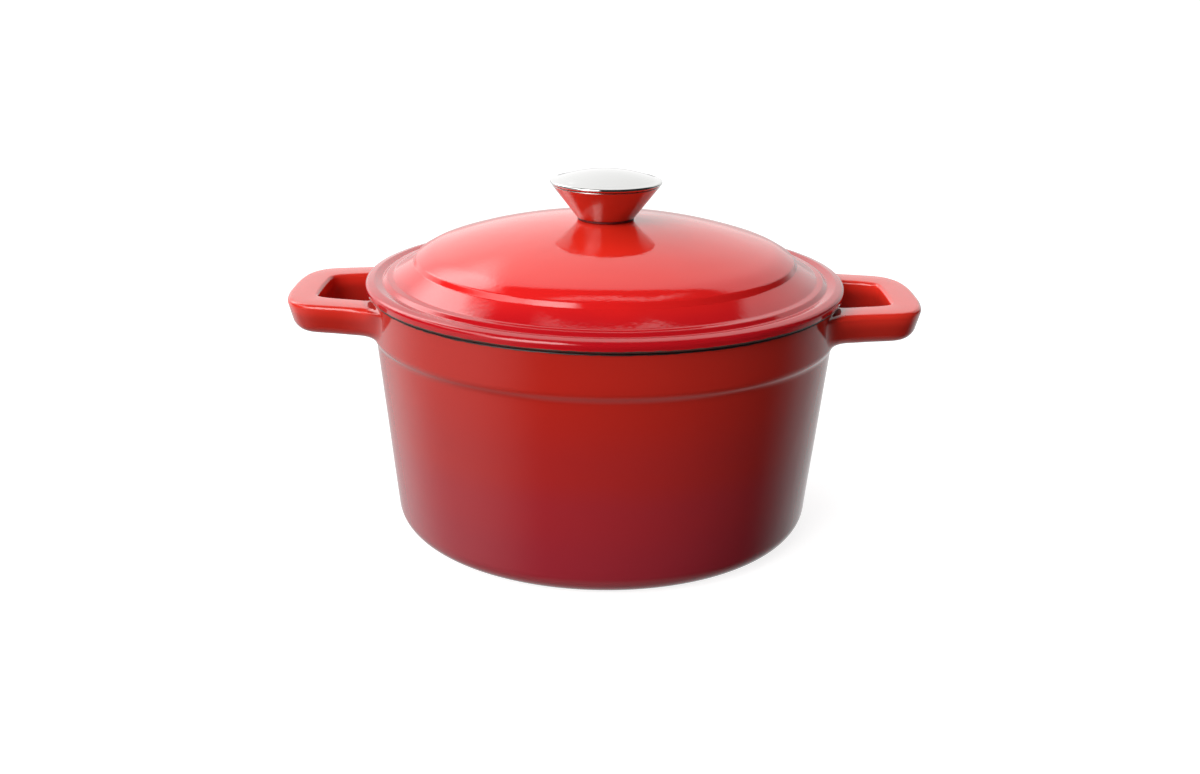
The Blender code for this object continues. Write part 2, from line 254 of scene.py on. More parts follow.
# Camera, at the height and tilt that the object is seen from.
CAMERA_PLACE = (0.0, -0.71836, 0.31332)
CAMERA_FORWARD = (-0.00224, 0.94737, -0.32012)
CAMERA_ROLL = 0.01453
LENS = 41.9
SENSOR = 36.0


# Geometry.


def rounded(corners, arc_step=ARC_STEP):
    """The points of a closed outline of (r, z, fillet radius) corners, each corner rounded."""
    points = []
    for index, (r, z, radius) in enumerate(corners):
        corner = Vector((r, z))
        if radius == 0:
            points.append(corner)
            continue
        back = (Vector(corners[index - 1][:2]) - corner).normalized()
        on = (Vector(corners[(index + 1) % len(corners)][:2]) - corner).normalized()
        half = back.angle(on) / 2
        centre = corner + (back + on).normalized() * radius / math.sin(half)
        start = corner + back * radius / math.tan(half) - centre
        end = corner + on * radius / math.tan(half) - centre
        turn = math.pi - 2 * half
        steps = max(1, math.ceil(turn / arc_step))
        for step in range(steps + 1):
            share = step / steps
            spoke = start * math.sin((1 - share) * turn) + end * math.sin(share * turn)
            points.append(centre + spoke / math.sin(turn))
    return points


def plain(*points):
    """Corners with no rounding."""
    return [(r, z, 0) for r, z in points]


def divided(outline, longest):
    """The outline with its long straight stretches split, so that lumps can show on them."""
    points = []
    for start, end in zip(outline, outline[1:]):
        pieces = max(1, math.ceil((end - start).length / longest))
        points += [start.lerp(end, step / pieces) for step in range(pieces)]
    return [*points, outline[-1]]


def turned_mesh(outline, steps, sweep=math.tau):
    """A bmesh turned about Z from the (r, z) points of its outline."""
    bm = bmesh.new()
    verts = [bm.verts.new((r, 0.0, z)) for r, z in outline]
    solid_core = outline[0][0] == 0 and outline[-1][0] == 0
    pairs = zip(verts, verts[1:] if solid_core else verts[1:] + verts[:1])
    edges = [bm.edges.new(pair) for pair in pairs]
    whole = sweep == math.tau
    if not whole:
        bm.faces.new(verts)
    spun = bmesh.ops.spin(
        bm, geom=verts + edges, cent=(0, 0, 0), axis=(0, 0, 1), angle=sweep, steps=steps, use_merge=whole
    )
    if not whole:
        bm.faces.new([v for v in spun["geom_last"] if isinstance(v, bmesh.types.BMVert)])
    bmesh.ops.remove_doubles(bm, verts=bm.verts, dist=1e-7)
    bmesh.ops.recalc_face_normals(bm, faces=bm.faces)
    return bm


def piece(name, bm, looks, body, node):
    """A shown piece from a bmesh: it rides on a body and stands for a CAD node."""
    mesh = bpy.data.meshes.new(name)
    bm.to_mesh(mesh)
    bm.free()
    mesh.shade_smooth()
    mesh.set_sharp_from_angle(angle=SHARP)
    for look in looks:
        mesh.materials.append(look)
    obj = bpy.data.objects.new(name, mesh)
    bpy.context.scene.collection.objects.link(obj)
    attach(obj, body)
    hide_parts(node)
    return obj


def sort_faces(bm, zone):
    """Gives each face the material that zone(centre, normal) names by its number."""
    bm.normal_update()
    for face in bm.faces:
        face.material_index = zone(face.calc_center_median(), face.normal)


def lump_faces(bm, material_index):
    """Moves the points of one material's faces along their normals by the casting's lumps.

    The lumps fade out towards the foot ring, which was ground flat.
    """
    bm.normal_update()
    moved = {v for face in bm.faces if face.material_index == material_index for v in face.verts}
    for v in moved:
        lift = sum(height * noise.noise(v.co * waves) for height, waves in LUMPS)
        v.co += v.normal * lift * min(1.0, max(0.0, v.co.z / LUMP_FADE))


def spline(points, steps):
    """Points along a Catmull-Rom curve through the given ones, without the last stretch."""
    points = [Vector(point) for point in points]
    curve = [points[1]]
    for a, b, c, d in zip(points, points[1:], points[2:], points[3:]):
        for step in range(1, steps + 1):
            t = step / steps
            bend = 2 * a - 5 * b + 4 * c - d
            twist = 3 * (b - c) + d - a
            curve.append(b + (t * (c - a) + t * t * bend + t * t * t * twist) / 2)
    return curve


def handle_section(inner, outer):
    """One cross-section of a handle as (place, outward, upward) for each point round it.

    Outward and upward say which way the surface faces there: across the section and along Z.
    """
    across = (outer - inner).normalized()
    top_z = HANDLE_TOP - HANDLE_TOP_RADIUS
    low_z = HANDLE_BOTTOM + HANDLE_BOTTOM_RADIUS
    lean = (low_z - top_z) * math.sin(HANDLE_DRAFT) + HANDLE_TOP_RADIUS - HANDLE_BOTTOM_RADIUS
    low_inset = -HANDLE_TOP_RADIUS + lean / math.cos(HANDLE_DRAFT)
    inner_z = HANDLE_BOTTOM + HANDLE_INNER_RADIUS
    draft = math.degrees(HANDLE_DRAFT)
    # Each corner: edge, inset and height of its centre, radius, first and last bearing, facets.
    corners = (
        (outer, -HANDLE_TOP_RADIUS, top_z, HANDLE_TOP_RADIUS, -draft, 90, 9),
        (inner, HANDLE_TOP_RADIUS, top_z, HANDLE_TOP_RADIUS, 90, 180, 9),
        (inner, HANDLE_INNER_RADIUS, inner_z, HANDLE_INNER_RADIUS, 180, 270, 8),
        (outer, low_inset, low_z, HANDLE_BOTTOM_RADIUS, 270, 360 - draft, 12),
    )
    ring = []
    for edge, inset, z, radius, first, last, steps in corners:
        for step in range(steps + 1):
            angle = math.radians(first + (last - first) * step / steps)
            outward, upward = math.cos(angle), math.sin(angle)
            place = edge + across * (inset + radius * outward)
            ring.append((Vector((place.x, place.y, z + radius * upward)), outward, upward))
    return ring


def root_path(start, along, outward, upward, wall_radius):
    """The points from a place on the handle to the pot's wall, flaring out along the wall."""
    reach = 0.0
    while math.hypot(*(start + along * reach).xy) > wall_radius(start.z):
        reach += REACH_STEP
    foot = start + along * reach
    side = FLARE_OUTER if outward > 0 else FLARE_INNER
    rise = FLARE_TOP if upward > 0 else FLARE_UNDER
    length = min(reach, outward**2 * side[0] + upward**2 * rise[0])
    begin = foot - along * length
    turn = math.atan2(foot.y, foot.x) + outward * abs(outward) * side[1] / wall_radius(foot.z)
    end_z = foot.z + upward * abs(upward) * rise[1]
    path = [start.lerp(begin, step / STRAIGHT_STEPS) for step in range(1, STRAIGHT_STEPS + 1)]

    def on_wall(depth):
        radius = wall_radius(end_z) - depth
        return Vector((radius * math.cos(turn), radius * math.sin(turn), end_z))

    end = on_wall(REACH_STEP)
    for step in range(1, FLARE_STEPS + 1):
        t = step / FLARE_STEPS
        path.append(begin * (1 - t) ** 2 + foot * 2 * t * (1 - t) + end * t * t)
    return [*path, on_wall(ROOT_DEPTH)]


def add_handle(bm, side, wall_radius):
    """Adds a loop handle at +X (side 1) or -X (side -1), its roots flaring onto the pot's wall."""
    edges = []
    for edge in (HANDLE_INNER_EDGE, HANDLE_OUTER_EDGE):
        first = (edge[1][0], -edge[1][1])
        edges.append(spline([first, *edge], HANDLE_STEPS))
    sections = [handle_section(inner, outer) for inner, outer in zip(*edges)]
    along = (Vector(HANDLE_OUTER_EDGE[5]) - Vector(HANDLE_OUTER_EDGE[3])).normalized().to_3d()
    half = [[place for place, _, _ in section] for section in sections]
    paths = []
    for place, outward, upward in sections[-1]:
        paths.append(root_path(place, along, outward, upward, wall_radius))
    half += [list(ring) for ring in zip(*paths)]
    other = [[Vector((p.x, -p.y, p.z)) for p in ring] for ring in reversed(half[1:])]
    rings = [[bm.verts.new((side * p.x, p.y, p.z)) for p in ring] for ring in other + half]
    faces = []
    for ring, following in zip(rings, rings[1:]):
        for index in range(len(ring)):
            after = (index + 1) % len(ring)
            faces.append(bm.faces.new((ring[index], ring[after], following[after], following[index])))
    for ring in (rings[0], rings[-1]):
        middle = bm.verts.new(sum((v.co for v in ring), Vector()) / len(ring))
        for index in range(len(ring)):
            faces.append(bm.faces.new((ring[index], ring[(index + 1) % len(ring)], middle)))
    bmesh.ops.recalc_face_normals(bm, faces=faces)


# Materials.


def node(tree, kind, inputs=None, **settings):
    """A shader node. An input given as a socket is linked, and any other is set."""
    made = tree.nodes.new("ShaderNode" + kind)
    for key, value in settings.items():
        setattr(made, key, value)
    for key, value in (inputs or {}).items():
        if isinstance(value, bpy.types.NodeSocket):
            tree.links.new(value, made.inputs[key])
        else:
            made.inputs[key].default_value = value
    return made


def maths(tree, operation, *values):
    made = node(tree, "Math", dict(enumerate(values)), operation=operation)
    return made.outputs[0]


def ranged(tree, value, low, high, to_low=0.0, to_high=1.0):
    """The value's share of the way from low to high, eased, as a number from to_low to to_high."""
    inputs = {0: value, 1: low, 2: high, 3: to_low, 4: to_high}
    return node(tree, "MapRange", inputs, interpolation_type="SMOOTHSTEP").outputs[0]


def mixed(tree, share, first, second):
    inputs = {0: share, 6: first, 7: second}
    return node(tree, "Mix", inputs, data_type="RGBA").outputs[2]


def noisy(tree, place, scale, detail=2.0):
    inputs = {"Vector": place, "Scale": scale, "Detail": detail}
    return node(tree, "TexNoise", inputs).outputs["Fac"]


def ramp(tree, share, stops):
    """Colour along a ramp of (share, linear colour) stops."""
    made = node(tree, "ValToRGB", {0: share})
    made.color_ramp.interpolation = "EASE"
    elements = made.color_ramp.elements
    while len(elements) < len(stops):
        elements.new(0.5)
    for element, (place, colour) in zip(elements, stops):
        element.position = place
        element.color = (*colour, 1.0)
    return made.outputs[0]


def new_look(name, **values):
    """A Principled material, its tree, its shader and the object's own coordinates."""
    made = bpy.data.materials.new(name)
    made.use_nodes = True
    tree = made.node_tree
    shader = tree.nodes["Principled BSDF"]
    for key, value in values.items():
        shader.inputs[key.replace("_", " ").title().replace("Ior", "IOR")].default_value = value
    place = node(tree, "TexCoord").outputs["Object"]
    return made, tree, shader, place


def set_input(tree, shader, name, socket):
    tree.links.new(socket, shader.inputs[name])


def bump(tree, shader, height, distance):
    inputs = {"Height": height, "Distance": distance, "Strength": 1.0}
    set_input(tree, shader, "Normal", node(tree, "Bump", inputs).outputs[0])


def height_and_radius(tree, place):
    parts = node(tree, "SeparateXYZ", {0: place})
    flat = node(tree, "CombineXYZ", {0: parts.outputs[0], 1: parts.outputs[1]})
    radius = node(tree, "VectorMath", {0: flat.outputs[0]}, operation="LENGTH").outputs["Value"]
    return parts.outputs[2], radius


# Bare iron, as the two colours its speckles run between.
RIM_IRON = ((0.010, 0.008, 0.007, 1.0), (0.030, 0.024, 0.020, 1.0))
# The lid lip's iron is lighter and browner than the rim's: partly the bare iron's own colour, partly
# painted light on the lid's lit lower edge.
LIP_IRON_AND_PAINTED_LIGHT = ((0.060, 0.045, 0.032, 1.0), (0.130, 0.100, 0.070, 1.0))


def enamel(name, share_of, stops, bare_of, iron):
    """Glossy vitreous enamel over iron.

    share_of says how far along the stops its colour is, and bare_of where the iron is bare.
    """
    made, tree, shader, place = new_look(name, ior=1.52)
    height, radius = height_and_radius(tree, place)
    drift = maths(tree, "MULTIPLY_ADD", noisy(tree, place, COLOUR_WAVES), COLOUR_DRIFT, -COLOUR_DRIFT / 2)
    share = maths(tree, "ADD", share_of(tree, height, radius), drift)
    colour = ramp(tree, share, stops)
    ripple = noisy(tree, place, RIPPLE_WAVES)
    rough = ranged(tree, noisy(tree, place, GLOSS_WAVES), *NOISE_BAND, *ENAMEL_ROUGHNESS)
    edge = maths(tree, "MULTIPLY_ADD", noisy(tree, place, EDGE_WAVES), EDGE_WANDER, -EDGE_WANDER / 2)
    bare = bare_of(tree, height, radius, edge)
    colour = mixed(tree, bare, colour, mixed(tree, noisy(tree, place, IRON_WAVES), *iron))
    rough = maths(tree, "MULTIPLY_ADD", bare, IRON_ROUGHNESS, rough)
    set_input(tree, shader, "Base Color", colour)
    set_input(tree, shader, "Roughness", rough)
    bump(tree, shader, ripple, RIPPLE_DEPTH)
    return made


def share_up(low, high):
    return lambda tree, height, radius: ranged(tree, height, low, high)


def pot_grade_and_painted_light(tree, height, radius):
    """Slowly up the pot's wall to the band, then quickly over the upper part of the handles. Partly the
    enamel's own grade, from crimson at the foot to orange red higher up, and partly painted light: painted
    shade towards the foot, and a much lighter painted lit face over the handles' upper part.
    """
    wall = ranged(tree, height, *WALL_GRADE_AND_SHADE_HEIGHTS, 0.0, WALL_SHARE)
    upper = ranged(tree, height, *HANDLE_PAINTED_LIGHT_HEIGHTS, 0.0, 1.0 - WALL_SHARE)
    outer = ranged(tree, radius, *HANDLE_PAINTED_LIGHT_RADII)
    return maths(tree, "MULTIPLY_ADD", upper, outer, wall)


def share_out(low, high):
    return lambda tree, height, radius: ranged(tree, radius, low, high)


def bare_past(level, by_radius=False, below=False):
    """Bare iron above a height, or below it, or outside a radius, with an edge that wanders."""

    def bare(tree, height, radius, edge):
        place = maths(tree, "ADD", radius if by_radius else height, edge)
        return ranged(tree, place, level - EDGE_BLUR, level + EDGE_BLUR, float(below), float(not below))

    return bare


# Enamel colours, as (share of the way along, linear colour): up the pot, out from the lid's middle,
# and for the cream coat inside both. The pot's reds are partly the enamel's own grade and partly painted
# light: painted shade towards the foot, and a painted lit face on the handles at the last stop.
POT_RED_AND_PAINTED_LIGHT = (
    (0.00, (0.340, 0.022, 0.034)),
    (0.24, (0.380, 0.022, 0.029)),
    (0.48, (0.430, 0.021, 0.019)),
    (0.80, (0.500, 0.020, 0.012)),
    (1.00, (0.780, 0.032, 0.018)),
)
# Painted light: the lid's red is the pot's enamel coloured much lighter, as its top faces the light. Its
# fall at the lip is partly the enamel's own crimson rim and partly painted shade.
LID_RED_WITH_PAINTED_LIGHT = (
    (0.00, (0.880, 0.026, 0.012)),
    (0.68, (0.900, 0.024, 0.014)),
    (0.86, (0.860, 0.015, 0.014)),
    (1.00, (0.540, 0.006, 0.012)),
)
CREAM = (
    (0.00, (0.780, 0.720, 0.600)),
    (1.00, (0.820, 0.770, 0.660)),
)


def metal(name, colour, roughness, grain_waves, grain_depth):
    """Steel turned on a lathe: fine rings round Z, a little uneven in gloss."""
    made, tree, shader, place = new_look(name, metallic=1.0)
    height, radius = height_and_radius(tree, place)
    along = maths(tree, "ADD", height, radius)
    rings = node(tree, "CombineXYZ", {0: along, 1: maths(tree, "MULTIPLY", height, 0.5)}).outputs[0]
    grain = noisy(tree, rings, grain_waves, 3.0)
    shade = tuple(METAL_SHADE * part for part in colour)
    set_input(tree, shader, "Base Color", mixed(tree, grain, (*shade, 1.0), (*colour, 1.0)))
    set_input(tree, shader, "Roughness", ranged(tree, grain, *NOISE_BAND, *roughness))
    bump(tree, shader, grain, grain_depth)
    return made


def rubber(name, colour):
    made, tree, shader, place = new_look(name)
    grain = noisy(tree, place, RUBBER_WAVES)
    dark = tuple(RUBBER_SHADE * part for part in colour)
    set_input(tree, shader, "Base Color", mixed(tree, grain, (*dark, 1.0), (*colour, 1.0)))
    set_input(tree, shader, "Roughness", ranged(tree, grain, *NOISE_BAND, *RUBBER_ROUGHNESS))
    bump(tree, shader, grain, RUBBER_GRAIN)
    return made


# Pieces.


def make_pot():
    outside = [
        (0, FOOT_RING_DEPTH, 0),
        (FOOT_RING_INSIDE, FOOT_RING_DEPTH, FOOT_RING_FILLETS[0]),
        (FOOT_RING_INSIDE + FOOT_RING_DEPTH, 0, FOOT_RING_FILLETS[1]),
        (WALL_LOW_RADIUS, 0, BASE_FILLET),
        (WALL_HIGH_RADIUS, WALL_HEAD, FOLD_FILLETS[0]),
        (BAND_RADIUS, BAND_FOOT, FOLD_FILLETS[1]),
        (RIM_RADIUS, RIM_TOP, RIM_FILLETS[0]),
    ]
    lean = (WALL_HIGH_RADIUS - WALL_LOW_RADIUS) / WALL_HEAD
    inside = [
        (MOUTH_RADIUS, RIM_TOP, RIM_FILLETS[1]),
        (WALL_HIGH_RADIUS - WALL, WALL_HEAD, MOUTH_FILLET),
        (WALL_LOW_RADIUS - WALL + lean * FLOOR, FLOOR, FLOOR_FILLET),
        (0, FLOOR, 0),
    ]
    outline = divided(rounded(outside + inside), POT_FACET)
    rim_middle = (RIM_RADIUS + MOUTH_RADIUS) / 2
    peak = max(range(len(outline)), key=lambda index: outline[index][1])
    climb = sorted((z, r) for r, z in outline[:peak] if r > FOOT_RING_INSIDE)
    heights = [z for z, _ in climb]
    radii = [r for _, r in climb]

    def wall_radius(z):
        return float(np.interp(z, heights, radii))

    bm = turned_mesh(outline, CAST_STEPS)
    add_handle(bm, 1, wall_radius)
    add_handle(bm, -1, wall_radius)

    def zone(centre, normal):
        radius = centre.xy.length
        inner_side = radius < rim_middle and centre.z > FOOT_RING_DEPTH + 0.001
        facing_in = normal.xy.dot(centre.xy) < 0 or centre.z < FLOOR + FLOOR_FILLET
        return 1 if inner_side and facing_in and inside_wall(radius, centre.z) else 0

    def inside_wall(radius, z):
        return radius < wall_radius(z) - 0.5 * WALL

    sort_faces(bm, zone)
    lump_faces(bm, 0)
    bare_rim, bare_mouth = bare_past(RIM_TOP - BARE_RIM), bare_past(RIM_TOP - BARE_MOUTH)
    red = enamel("pot_red_enamel_painted_light", pot_grade_and_painted_light, POT_RED_AND_PAINTED_LIGHT, bare_rim, RIM_IRON)
    cream = enamel("pot_cream_enamel", share_up(0.0, RIM_TOP), CREAM, bare_mouth, RIM_IRON)
    return piece("pot_casting", bm, [red, cream], "pot", "pot")


def dome_height(r):
    return DOME_FOOT + DOME_RISE * (1 - (r / DOME_RADIUS) ** DOME_POWER)


def make_lid():
    seat_z = RIM_TOP + GAP
    dome = [KNOB_SEAT_RADIUS + DOME_STEP * step for step in range(1, 31)]
    hollow = [HOLLOW_FIRST - DOME_STEP * step for step in range(27)]
    corners = [
        (SCREW_HOLE_RADIUS, dome_height(KNOB_SEAT_RADIUS), 0),
        (KNOB_SEAT_RADIUS, dome_height(KNOB_SEAT_RADIUS), 0),
        *plain(*((r, dome_height(r)) for r in dome if r < DOME_LAST)),
        SHOULDER,
        DOME_EDGE,
        STEP_FOOT,
        RIDGE_INSIDE,
        RIDGE_OUTSIDE,
        CHANNEL,
        LIP_INSIDE,
        (LIP_RADIUS, LIP_TOP, LIP_FILLET),
        LIP_FOOT,
        (SEAT_OUTSIDE, seat_z, 0.0003),
        (RING_OUTSIDE + GAP, seat_z, 0),
        (RING_OUTSIDE, RING_FOOT, RING_FILLET),
        (RING_INSIDE, RING_FOOT, RING_FILLET),
        HOLLOW_CORNER,
        HOLLOW_SHOULDER,
        *plain(*((r, dome_height(r) - LID_WALL) for r in hollow)),
        (PAD_RADIUS, PAD_Z, 0),
        (SCREW_HOLE_RADIUS, PAD_Z, 0),
    ]
    bm = turned_mesh(rounded(corners), CAST_STEPS)

    def zone(centre, normal):
        if centre.z < LIP_FOOT[1] + 0.0002:
            return 1
        return 1 if normal.z < -0.05 and centre.xy.length < RIDGE_OUTSIDE[0] else 0

    sort_faces(bm, zone)
    lump_faces(bm, 0)
    bare_lip = bare_past(LIP_FOOT[1] + BARE_MARGIN, below=True)
    bare_seat = bare_past(RING_OUTSIDE + BARE_MARGIN, by_radius=True)
    red = enamel("lid_red_enamel_painted_light", share_out(*LID_GRADE_AND_SHADE_RADII), LID_RED_WITH_PAINTED_LIGHT, bare_lip, LIP_IRON_AND_PAINTED_LIGHT)
    cream = enamel("lid_cream_enamel", share_out(*LID_CREAM_RADII), CREAM, bare_seat, RIM_IRON)
    return piece("lid_casting", bm, [red, cream], "lid", "lid")


def make_gasket():
    top, foot, radius = GASKET_HIGH.z, GASKET_LOW.z, GASKET_HIGH.x
    corners = [
        (SCREW_HOLE_RADIUS, foot, 0),
        (radius, foot, 0.00025),
        (radius, top, 0.00025),
        (SCREW_HOLE_RADIUS, top, 0),
    ]
    bm = turned_mesh(rounded(corners), KNOB_STEPS)
    look = rubber("gasket_rubber", (0.160, 0.006, 0.006))
    piece("knob_gasket_ring", bm, [look], "knob", "knob_gasket")


def make_cone():
    recess = KNOB_HEAD_Z - SPIGOT_DEPTH
    foot = CONE_LOW.z
    corners = [
        (INSERT_RADIUS + GAP, foot, 0),
        (KNOB_FOOT_RADIUS, foot, 0.0006),
        (KNOB_HEAD_RADIUS, KNOB_HEAD_Z, 0.0003),
        (SPIGOT_RADIUS + GAP, KNOB_HEAD_Z, 0),
        (SPIGOT_RADIUS + GAP, recess, 0),
        (INSERT_RADIUS + GAP, recess, 0),
    ]
    bm = turned_mesh(divided(rounded(corners), CONE_FACET), KNOB_STEPS)
    look = metal("knob_cone_steel", (0.62, 0.60, 0.58), (0.12, 0.20), TURNED_WAVES, 0.000004)
    piece("knob_cone", bm, [look], "knob", "knob_body")


def make_cap():
    foot = CAP_LOW.z + SPIGOT_DEPTH
    flat = CAP_RADIUS - CAP_ROUNDING
    sphere = (flat**2 + CAP_CROWN**2) / (2 * CAP_CROWN)
    crown = []
    for step in range(CROWN_STEPS - 1, 0, -1):
        r = flat * step / CROWN_STEPS
        crown.append((r, CAP_EDGE_Z + CAP_CROWN - sphere + math.sqrt(sphere**2 - r**2)))
    corners = [
        (0, foot - SPIGOT_DEPTH, 0),
        (SPIGOT_RADIUS, foot - SPIGOT_DEPTH, 0),
        (SPIGOT_RADIUS, foot, 0),
        (CAP_RADIUS - CAP_BEVEL[0], foot, 0.0002),
        (CAP_RADIUS, foot + CAP_BEVEL[1], 0.0005),
        (CAP_RADIUS, CAP_EDGE_Z, 0.0010),
        *plain(*crown),
        (0, CAP_EDGE_Z + CAP_CROWN, 0),
    ]
    bm = turned_mesh(rounded(corners), KNOB_STEPS)
    look = metal("cap_steel", (0.66, 0.66, 0.65), (0.07, 0.12), 1800.0, 0.000002)
    piece("knob_cap_disc", bm, [look], "knob", "knob_cap")


def make_insert():
    corners = [
        (0, THREAD_HOLE_TOP, 0),
        (THREAD_HOLE_RADIUS, THREAD_HOLE_TOP, 0),
        (THREAD_HOLE_RADIUS, INSERT_LOW.z, 0.0003),
        (INSERT_RADIUS, INSERT_LOW.z, 0.0003),
        (INSERT_RADIUS, INSERT_HIGH.z, 0.0003),
        (0, INSERT_HIGH.z, 0),
    ]
    bm = turned_mesh(rounded(corners), SMALL_STEPS)
    look = metal("insert_steel", (0.62, 0.62, 0.60), (0.2, 0.35), TURNED_WAVES, TURNED_DEPTH)
    piece("knob_insert_sleeve", bm, [look], "knob", "knob_insert")


def screw_mesh():
    """The screw: a pan head with the thread cut as close rings on its shank."""
    foot, top = SCREW_LOW.z, SCREW_HIGH.z
    thread = []
    z = SCREW_HEAD_TOP + PLAIN_SHANK
    while z < top - 2 * THREAD_PITCH:
        thread.append((SCREW_RADIUS - THREAD_DEPTH, z, 0))
        thread.append((SCREW_RADIUS, z + THREAD_PITCH / 2, 0))
        z += THREAD_PITCH
    corners = [
        (0, foot, 0),
        (SCREW_HEAD_RADIUS, foot, SCREW_HEAD_FILLET),
        (SCREW_HEAD_RADIUS, SCREW_HEAD_TOP, 0.0002),
        (SCREW_RADIUS, SCREW_HEAD_TOP, 0),
        *thread,
        (SCREW_RADIUS, top - SCREW_POINT, 0),
        (SCREW_RADIUS - SCREW_POINT, top, 0),
        (0, top, 0),
    ]
    return turned_mesh(rounded(corners), SMALL_STEPS)


def make_screw():
    look = metal("screw_steel", (0.66, 0.66, 0.65), (0.16, 0.3), TURNED_WAVES, TURNED_DEPTH)
    screw = piece("knob_screw_pan_head", screw_mesh(), [look], "knob", "knob_screw")
    for spans in ((CROSS_SPAN, CROSS_WIDTH), (CROSS_WIDTH, CROSS_SPAN)):
        bm = bmesh.new()
        bmesh.ops.create_cube(bm, size=1)
        bmesh.ops.scale(bm, verts=bm.verts, vec=(*spans, 2 * CROSS_DEPTH))
        bmesh.ops.translate(bm, verts=bm.verts, vec=(0, 0, SCREW_LOW.z))
        mesh = bpy.data.meshes.new("cross")
        bm.to_mesh(mesh)
        bm.free()
        cutter = bpy.data.objects.new("cross", mesh)
        bpy.context.scene.collection.objects.link(cutter)
        cut = screw.modifiers.new("cross", "BOOLEAN")
        cut.operation = "DIFFERENCE"
        cut.solver = "EXACT"
        cut.object = cutter
        bpy.context.view_layer.objects.active = screw
        bpy.ops.object.modifier_apply(modifier=cut.name)
        bpy.data.objects.remove(cutter)


def make_washer(name, low, high, radius, sweep, cad_node):
    corners = [
        (WASHER_HOLE_RADIUS, low.z, 0.00015),
        (radius, low.z, 0.0002),
        (radius, high.z, 0.0002),
        (WASHER_HOLE_RADIUS, high.z, 0.00015),
    ]
    bm = turned_mesh(rounded(corners), SMALL_STEPS, sweep)
    look = metal(name + "_steel", (0.64, 0.64, 0.62), (0.18, 0.32), TURNED_WAVES, TURNED_DEPTH)
    piece(name, bm, [look], "knob", cad_node)


# Stage.


def make_floor():
    """A broad pale floor, lit evenly enough that only a faint shadow shows."""
    bm = bmesh.new()
    bmesh.ops.create_circle(bm, cap_ends=True, segments=96, radius=FLOOR_RADIUS)
    mesh = bpy.data.meshes.new("floor")
    bm.to_mesh(mesh)
    bm.free()
    made, tree, shader, place = new_look("floor_card", roughness=0.9, emission_color=(1, 1, 1, 1))
    mottle = noisy(tree, place, FLOOR_WAVES)
    set_input(tree, shader, "Base Color", mixed(tree, mottle, *FLOOR_GREYS))
    seen = node(tree, "LightPath").outputs["Is Camera Ray"]
    set_input(tree, shader, "Emission Strength", maths(tree, "MULTIPLY", seen, FLOOR_GLOW))
    mesh.materials.append(made)
    floor = bpy.data.objects.new("floor", mesh)
    bpy.context.scene.collection.objects.link(floor)
    floor.location.z = -GAP
    floor.visible_glossy = False


def zenith_map(tree, x, y, z):
    """(across, behind) of a direction: its bearing, with 0 overhead and 1 at the horizon."""
    flat = node(tree, "CombineXYZ", {0: x, 1: y}).outputs[0]
    level = node(tree, "VectorMath", {0: flat}, operation="LENGTH").outputs["Value"]
    fall = maths(tree, "DIVIDE", maths(tree, "ARCCOSINE", z), math.pi / 2)
    reach = maths(tree, "DIVIDE", fall, maths(tree, "MAXIMUM", level, 0.001))
    return maths(tree, "MULTIPLY", x, reach), maths(tree, "MULTIPLY", y, reach)


def product(tree, *shares):
    total = shares[0]
    for share in shares[1:]:
        total = maths(tree, "MULTIPLY", total, share)
    return total


def blob(tree, across, behind, centre, half, soft):
    """1 in the middle of an oval of the zenith map, falling to 0 over its soft outer share."""
    parts = []
    for value, middle, size in zip((across, behind), centre, half):
        parts.append(maths(tree, "DIVIDE", maths(tree, "SUBTRACT", value, middle), size))
    offset = node(tree, "CombineXYZ", {0: parts[0], 1: parts[1]}).outputs[0]
    distance = node(tree, "VectorMath", {0: offset}, operation="LENGTH").outputs["Value"]
    return ranged(tree, distance, 1.0 - soft, 1.0 + soft, 1.0, 0.0)


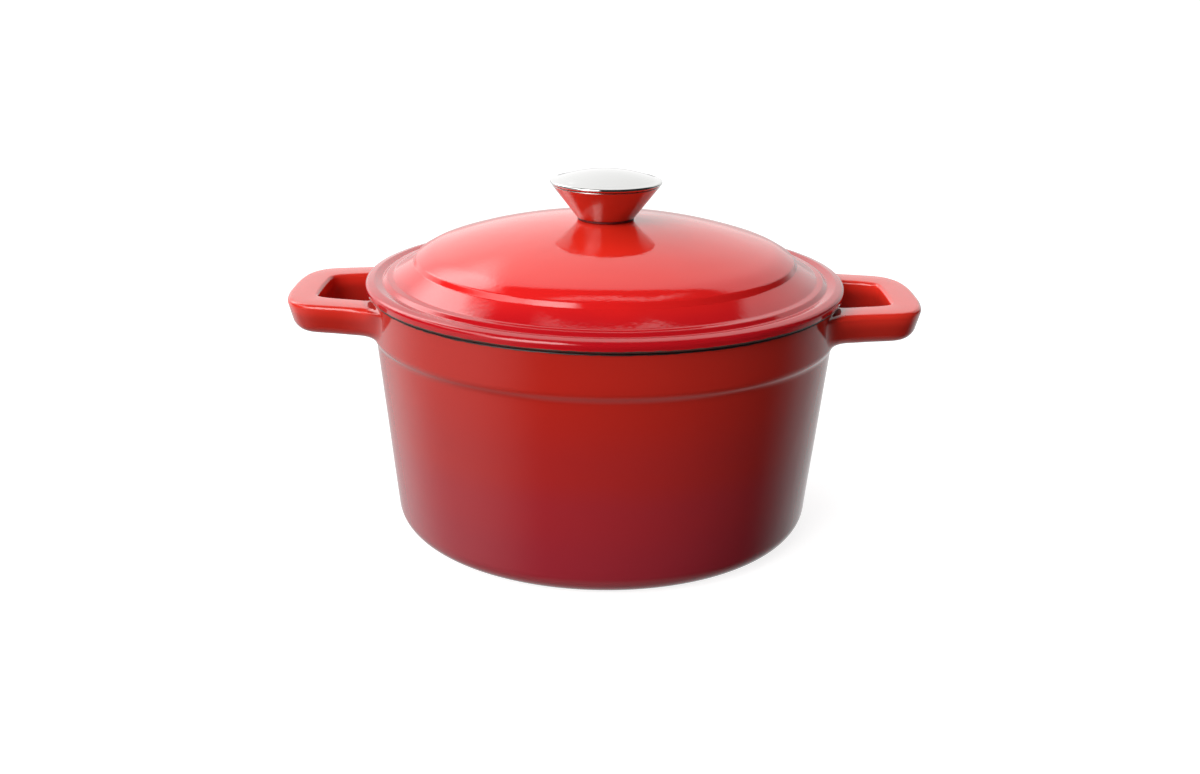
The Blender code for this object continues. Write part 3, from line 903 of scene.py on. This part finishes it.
def make_world():
    """Studio surroundings.

    A key low at the front left, a tall softbox at the left, a strip overhead, a white backdrop
    behind, and nothing at the right or the front.
    """
    world = bpy.data.worlds.new("studio")
    world.use_nodes = True
    bpy.context.scene.world = world
    tree = world.node_tree
    direction = node(tree, "TexCoord").outputs["Generated"]
    x, y, z = node(tree, "SeparateXYZ", {0: direction}).outputs
    across, behind = zenith_map(tree, x, y, z)
    above = ranged(tree, z, *HORIZON_EDGE)
    key = product(
        tree,
        blob(tree, across, behind, KEY_CENTRE, KEY_HALF, KEY_SOFT),
        ranged(tree, across, *KEY_RIGHT_EDGE),
    )
    leaning = maths(tree, "MULTIPLY_ADD", behind, COLUMN_LEAN, across)
    notch = blob(tree, across, behind, NOTCH_CENTRE, NOTCH_HALF, NOTCH_SOFT)
    column = product(
        tree,
        ranged(tree, across, *COLUMN_LEFT_EDGE),
        ranged(tree, leaning, *COLUMN_RIGHT_EDGE),
        ranged(tree, behind, *COLUMN_FRONT_EDGE),
        ranged(tree, behind, *COLUMN_BACK_EDGE),
        maths(tree, "SUBTRACT", 1.0, notch),
    )
    past_bend = maths(tree, "MAXIMUM", maths(tree, "SUBTRACT", across, STRIP_BEND_START), 0.0)
    bend = maths(tree, "MULTIPLY", past_bend, STRIP_BEND)
    from_strip = maths(tree, "SUBTRACT", maths(tree, "SUBTRACT", behind, bend), STRIP_BEHIND)
    strip = product(
        tree,
        ranged(tree, maths(tree, "ABSOLUTE", from_strip), *STRIP_EDGE),
        ranged(tree, across, *STRIP_LEFT_EDGE),
        ranged(tree, across, *STRIP_RIGHT_EDGE),
    )
    backdrop = product(
        tree,
        above,
        ranged(tree, behind, *BACKDROP_FRONT_EDGE),
        ranged(tree, across, *BACKDROP_LEFT_EDGE),
        ranged(tree, across, *BACKDROP_RIGHT_EDGE),
        maths(tree, "MULTIPLY_ADD", across, BACKDROP_TILT, BACKDROP_LEVEL),
    )
    lights = [
        (key, KEY_RADIANCE),
        (column, COLUMN_RADIANCE),
        (strip, STRIP_RADIANCE),
        (backdrop, BACKDROP_RADIANCE),
    ]
    below = maths(tree, "SUBTRACT", 1.0, above)
    axes = {"x": x, "y": y, "z": z}
    for axis, edge, radiance in LOW_LIGHTS:
        lights.append((product(tree, below, ranged(tree, axes[axis], *edge)), radiance))
    strength = AMBIENT_RADIANCE
    for share, radiance in lights:
        strength = maths(tree, "MULTIPLY_ADD", share, radiance, strength)
    seen = node(tree, "LightPath").outputs["Is Camera Ray"]
    shown = {0: seen, 2: strength, 3: SEEN_RADIANCE}
    strength = node(tree, "Mix", shown, data_type="FLOAT").outputs[0]
    background = tree.nodes["Background"]
    background.inputs["Color"].default_value = (1.0, 1.0, 1.0, 1.0)
    tree.links.new(strength, background.inputs["Strength"])


def make_camera():
    data = bpy.data.cameras.new("camera")
    data.lens = LENS
    data.sensor_width = SENSOR
    data.sensor_fit = "HORIZONTAL"
    data.clip_start = 0.01
    data.clip_end = 100.0
    camera = bpy.data.objects.new("camera", data)
    bpy.context.scene.collection.objects.link(camera)
    forward = Vector(CAMERA_FORWARD).normalized()
    level = forward.cross(Vector((0, 0, 1))).normalized()
    upright = level.cross(forward)
    right = math.cos(CAMERA_ROLL) * level + math.sin(CAMERA_ROLL) * upright
    top = -math.sin(CAMERA_ROLL) * level + math.cos(CAMERA_ROLL) * upright
    turn = Matrix((right, top, -forward)).transposed()
    camera.matrix_world = Matrix.Translation(CAMERA_PLACE) @ turn.to_4x4()
    bpy.context.scene.camera = camera


make_pot()
make_lid()
make_gasket()
make_cone()
make_cap()
make_insert()
make_screw()
make_washer("knob_flat_washer", FLAT_LOW, FLAT_HIGH, FLAT_WASHER_RADIUS, math.tau, "flat_washer")
make_washer(
    "knob_spring_washer",
    SPRING_LOW,
    SPRING_HIGH,
    SPRING_WASHER_RADIUS,
    SPRING_WASHER_SWEEP,
    "spring_washer",
)
make_floor()
make_world()
make_camera()
bpy.context.scene.view_settings.view_transform = "Standard"
